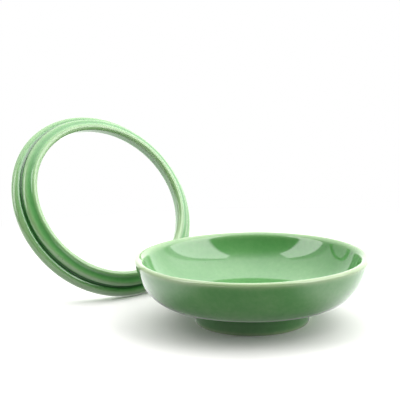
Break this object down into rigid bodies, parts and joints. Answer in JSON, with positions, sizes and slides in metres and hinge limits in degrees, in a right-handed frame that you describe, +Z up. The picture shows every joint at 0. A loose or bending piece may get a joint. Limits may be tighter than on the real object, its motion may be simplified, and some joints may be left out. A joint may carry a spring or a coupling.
{
  "type": "ceramic ink dish with cover ring",
  "caption": "Shallow round glazed ceramic dish on a turned foot, with a loose stepped cover ring standing on edge behind it.",
  "frame": {"origin": "on the surface the pieces stand on, under the middle of the whole set's box", "axes": "+X along the set's longest side, from the cover ring towards the dish; +Y towards the back, where the cover ring stands; +Z up, along the dish's axis"},
  "size_m": [0.207, 0.1936, 0.1063],
  "materials": {
    "dish_glaze": "gloss green glaze, paler where it thins on the rim",
    "cover_glaze": "gloss green glaze, paler on the crests and darker in the grooves"
  },
  "bodies": {
    "dish": {"dish": "dish_glaze"},
    "cover": {"cover_ring": "cover_glaze"}
  },
  "joints": [
    {"name": "cover_lift", "type": "slide", "parent": "dish", "child": "cover", "axis": [0, 0, 1], "range_m": [0, 0.12]}
  ]
}
